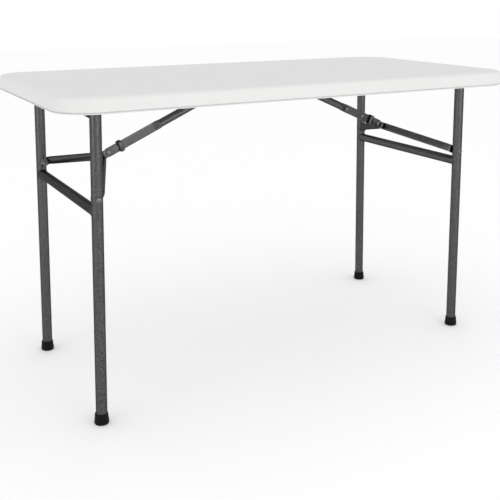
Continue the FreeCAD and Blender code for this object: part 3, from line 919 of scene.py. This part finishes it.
rivet_tree, rivet_in = new_tree("pan_rivets", fastener_sizes(RIVET_HEAD, RIVET_RISE, RIVET_SHANK, 2 * MM))
rivet = add_shank(rivet_tree, rivet_in, dome_head(rivet_tree, rivet_in, 16, RIVET_FULLNESS), 24)
soft_rivet = add_node(rivet_tree, "GeometryNodeSetShadeSmooth", inputs={"Geometry": rivet})
stand_on_points(rivet_tree, rivet_in, soft_rivet.outputs[0], RIVET_FINISH)


def points_with_ways(name, places):
    """Mesh of single points, each with the direction that its piece faces."""
    mesh = bpy.data.meshes.new(name)
    mesh.from_pydata([place for place, way in places], [], [])
    ways = mesh.attributes.new("way", "FLOAT_VECTOR", "POINT")
    for item, (place, way) in zip(ways.data, places):
        item.vector = way
    return mesh


def set_fasteners(name, places, tree, values, finish, body, replaced):
    """Grow fasteners on places and make them one piece of a body."""
    mesh = grow_mesh(name, points_with_ways(name, places), tree, values)
    mesh.materials.clear()
    mesh.materials.append(finish)
    piece = bpy.data.objects.new(name, mesh)
    bpy.context.collection.objects.link(piece)
    return settle(piece, body, replaced)


LEG_RADIUS = 12.7 * MM
TAB_GAP = 0.3 * MM
LEG_MIDDLE = TAB_MIDDLE + TAB_HALF + TAB_GAP + LEG_RADIUS
HEAD_SEAT = 0.6 * MM
HEAD_GAP = 0.1 * MM
EAR_FACE = EAR_MIDDLE + EAR_HALF
TAB_FACE = TAB_MIDDLE - TAB_HALF
LINK_RIVET_STEPS = (62.2 * MM, 122.0 * MM)


def rivet_places(axes, x, face, side, outward=1):
    """The two ends of a rivet across a part, in the table's axes."""
    to_table = unit_matrix(side) @ axes
    turn = to_table.to_3x3()
    return [(to_table @ Vector((x, k * face, 0)), turn @ Vector((0, k * outward, 0))) for k in (-1, 1)]


def rivet_set(side, node, places, shank_length):
    """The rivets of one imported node, as one piece."""
    set_fasteners(side + "_" + node + "_set", places, rivet_tree, {
        "Head Radius": RIVET_HEAD, "Head Height": RIVET_RISE, "Shank Radius": RIVET_SHANK,
        "Shank Length": shank_length}, RIVET_FINISH, BODY_OF[side + "_" + node], [side + "_" + node])


leg_axes = frame_along(ARM_PIVOT, ARM_PIVOT + Vector((1, 0, 0)))
leg_face = LEG_MIDDLE + LEG_RADIUS - HEAD_SEAT
for side in SIDES:
    rivet_set(side, "leg_rivets", rivet_places(leg_axes, 0, leg_face, side), 2 * LEG_RADIUS - 2 * HEAD_SEAT)
    rivet_set(side, "tab_rivets", rivet_places(v_axes, ARM_REACH, TAB_FACE, side, -1), 2 * TAB_HALF)
    rivet_set(side, "knuckle_rivet", rivet_places(v_axes, 0, EAR_FACE, side), EAR_FACE - HEAD_GAP)
    paddle = [rivet_places(link_axes, LINK_LENGTH - step, PADDLE_HALF, side)[0] for step in LINK_RIVET_STEPS]
    rivet_set(side, "link_rivets", paddle, 2 * PADDLE_HALF - HEAD_GAP)
print("leg axis:", round(LEG_MIDDLE / MM, 1), "mm from the leg frame's middle at the rivets")

# %% [markdown]
# ## Screws
# Pan-head screws hold the bearings and the anchors to the deck. A second tree makes the
# same dome, and takes a cross out of it with two thin bars, so the driver's recess is
# real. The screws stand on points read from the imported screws' own places.

# %% Screws
SCREW_HEAD = 4.5 * MM
SCREW_RISE = 2.8 * MM
SCREW_SHANK = 2 * MM
SCREW_FULLNESS = 0.4
RECESS_WIDTH = 1.0 * MM
RECESS_LENGTH = 5.2 * MM
RECESS_DEPTH = 2.4 * MM

screw_tree, screw_in = new_tree("pan_head_screws", fastener_sizes(
    SCREW_HEAD, SCREW_RISE, SCREW_SHANK, 4 * MM))
recess = add_node(screw_tree, "GeometryNodeMeshBoolean", {"operation": "DIFFERENCE", "solver": "EXACT"}, {
    "Mesh 1": dome_head(screw_tree, screw_in, 12, SCREW_FULLNESS), "Self Intersection": True})
for long_side in (0, 1):
    size = [RECESS_WIDTH, RECESS_WIDTH, RECESS_DEPTH]
    size[long_side] = RECESS_LENGTH
    bar = add_node(screw_tree, "GeometryNodeMeshCube", inputs={"Size": size})
    lift = add_node(screw_tree, "ShaderNodeCombineXYZ", inputs={"Z": screw_in["Head Height"]})
    high_bar = add_node(screw_tree, "GeometryNodeTransform", inputs={
        "Geometry": bar.outputs["Mesh"], "Translation": lift.outputs[0]})
    screw_tree.links.new(high_bar.outputs[0], recess.inputs["Mesh 2"])
stand_on_points(screw_tree, screw_in, add_shank(screw_tree, screw_in, recess.outputs[0], 16),
                FINISHES["zinc_steel"])


def screw_places(node):
    """The seats of four screws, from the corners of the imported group's box."""
    low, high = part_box(node)
    x0, x1 = low.x + SCREW_HEAD, high.x - SCREW_HEAD
    y0, y1 = low.y + SCREW_HEAD, high.y - SCREW_HEAD
    seat = low.z + SCREW_RISE
    return [(Vector((x, y, seat)), Vector((0, 0, -1))) for x in (x0, x1) for y in (y0, y1)]


for side in SIDES:
    for node in (side + "_bearing_screws", side + "_anchor_screws"):
        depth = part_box(node)[1].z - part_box(node)[0].z - SCREW_RISE
        set_fasteners(node + "_set", screw_places(node), screw_tree, {
            "Head Radius": SCREW_HEAD, "Head Height": SCREW_RISE, "Shank Radius": SCREW_SHANK,
            "Shank Length": depth}, FINISHES["zinc_steel"], ROOT, [node])
print("screw head:", SCREW_HEAD / MM, "mm radius,", SCREW_RISE / MM, "mm high")

# %% [markdown]
# ## Weld beads
# The crossbar and the pivot tube are welded to the legs all round. A weld by hand is a
# row of overlapping drops along the saddle-shaped joint of two tubes. The joint's curve
# has a formula, and a tree walks along it at the drops' spacing and sets a ball at
# each step, a little larger or smaller by a seeded random number.

# %% Weld beads
BEAD_RADIUS = 2.1 * MM
BEAD_SPACING = 1.9 * MM
WELD_POINTS = 48
LEAST_BEAD, MOST_BEAD = 0.85, 1.1

weld_tree, weld_in = new_tree("weld_beads", {
    "Bead Radius": ("NodeSocketFloat", BEAD_RADIUS),
    "Bead Spacing": ("NodeSocketFloat", BEAD_SPACING),
    "Seed": ("NodeSocketInt", 0)})
seam = add_node(weld_tree, "GeometryNodeMeshToCurve", inputs={"Mesh": weld_in["Geometry"]})
steps = add_node(weld_tree, "GeometryNodeResampleCurve", {"mode": "LENGTH"}, {
    "Curve": seam.outputs["Curve"], "Length": weld_in["Bead Spacing"]})
drop = add_node(weld_tree, "GeometryNodeMeshIcoSphere", inputs={
    "Radius": weld_in["Bead Radius"], "Subdivisions": 2})
soft_drop = add_node(weld_tree, "GeometryNodeSetShadeSmooth", inputs={"Geometry": drop.outputs["Mesh"]})
uneven = add_node(weld_tree, "FunctionNodeRandomValue", {"data_type": "FLOAT"}, {
    2: LEAST_BEAD, 3: MOST_BEAD, "Seed": weld_in["Seed"]})
beads = add_node(weld_tree, "GeometryNodeInstanceOnPoints", inputs={
    "Points": steps.outputs["Curve"], "Instance": soft_drop.outputs[0], "Scale": uneven.outputs[1]})
close_tree(weld_tree, beads.outputs["Instances"], FINISHES["grey_powder_coat"])


def saddle_curve(node, radius, side):
    """Both joints of a cross tube with the legs, as closed rows of edges."""
    low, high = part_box(node)
    middle = Vector(((low.x + high.x) / 2 * SIDES[side], 0, (low.z + high.z) / 2))
    points, edges = [], []
    for k in (-1, 1):
        first = len(points)
        for i in range(WELD_POINTS):
            angle = 2 * math.pi * i / WELD_POINTS
            across = radius * math.cos(angle)
            y = LEG_MIDDLE - math.sqrt(LEG_RADIUS ** 2 - across ** 2)
            points.append(middle + Vector((across, k * y, radius * math.sin(angle))))
            edges.append((first + i, first + (i + 1) % WELD_POINTS))
    mesh = bpy.data.meshes.new("saddle_curve")
    mesh.from_pydata([unit_matrix(side) @ point for point in points], edges, [])
    return mesh


for seed, side in enumerate(SIDES):
    for tube in ("crossbar", "pivot_tube"):
        node = side + "_" + tube
        low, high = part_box(node)
        curve = saddle_curve(node, (high.x - low.x) / 2, side)
        mesh = grow_mesh(node + "_welds", curve, weld_tree, {
            "Bead Radius": BEAD_RADIUS, "Bead Spacing": BEAD_SPACING, "Seed": seed})
        welds = bpy.data.objects.new(node + "_welds", mesh)
        bpy.context.collection.objects.link(welds)
        settle(welds, BODY_OF[node])

# %% [markdown]
# ## Bearing and anchor blocks
# A moulded block has no sharp edge, because the mould needs a radius everywhere. The
# packed blocks have the right shape but sharp edges, so a copy of each is merged,
# freed of the triangles on its flat faces, and given a small bevel.

# %% Moulded blocks
BLOCK_EDGE = 0.8 * MM
SAME_PLACE = 0.01 * MM
FLAT_DEG = 1
BLOCK_SMOOTH_DEG = 30
SHARP_DEG = 50


def soft_block(node):
    """A copy of a packed block with its edges rounded."""
    bm = bmesh.new()
    bm.from_mesh(frame["nodes"][node].data)
    bmesh.ops.remove_doubles(bm, verts=bm.verts, dist=SAME_PLACE)
    bmesh.ops.dissolve_limit(bm, angle_limit=math.radians(FLAT_DEG), verts=bm.verts, edges=bm.edges)
    piece = finish_piece(node + "_block", bm, "black_nylon", BODY_OF[node], [node], BLOCK_SMOOTH_DEG)
    edges = piece.modifiers.new("mould_radius", "BEVEL")
    edges.width = BLOCK_EDGE
    edges.segments = 2
    edges.limit_method = "ANGLE"
    edges.angle_limit = math.radians(SHARP_DEG)


for side in SIDES:
    for block in ("bearing", "anchor"):
        for end in ("front", "back"):
            soft_block(side + "_" + block + "_" + end)
print("block edge:", BLOCK_EDGE / MM, "mm")
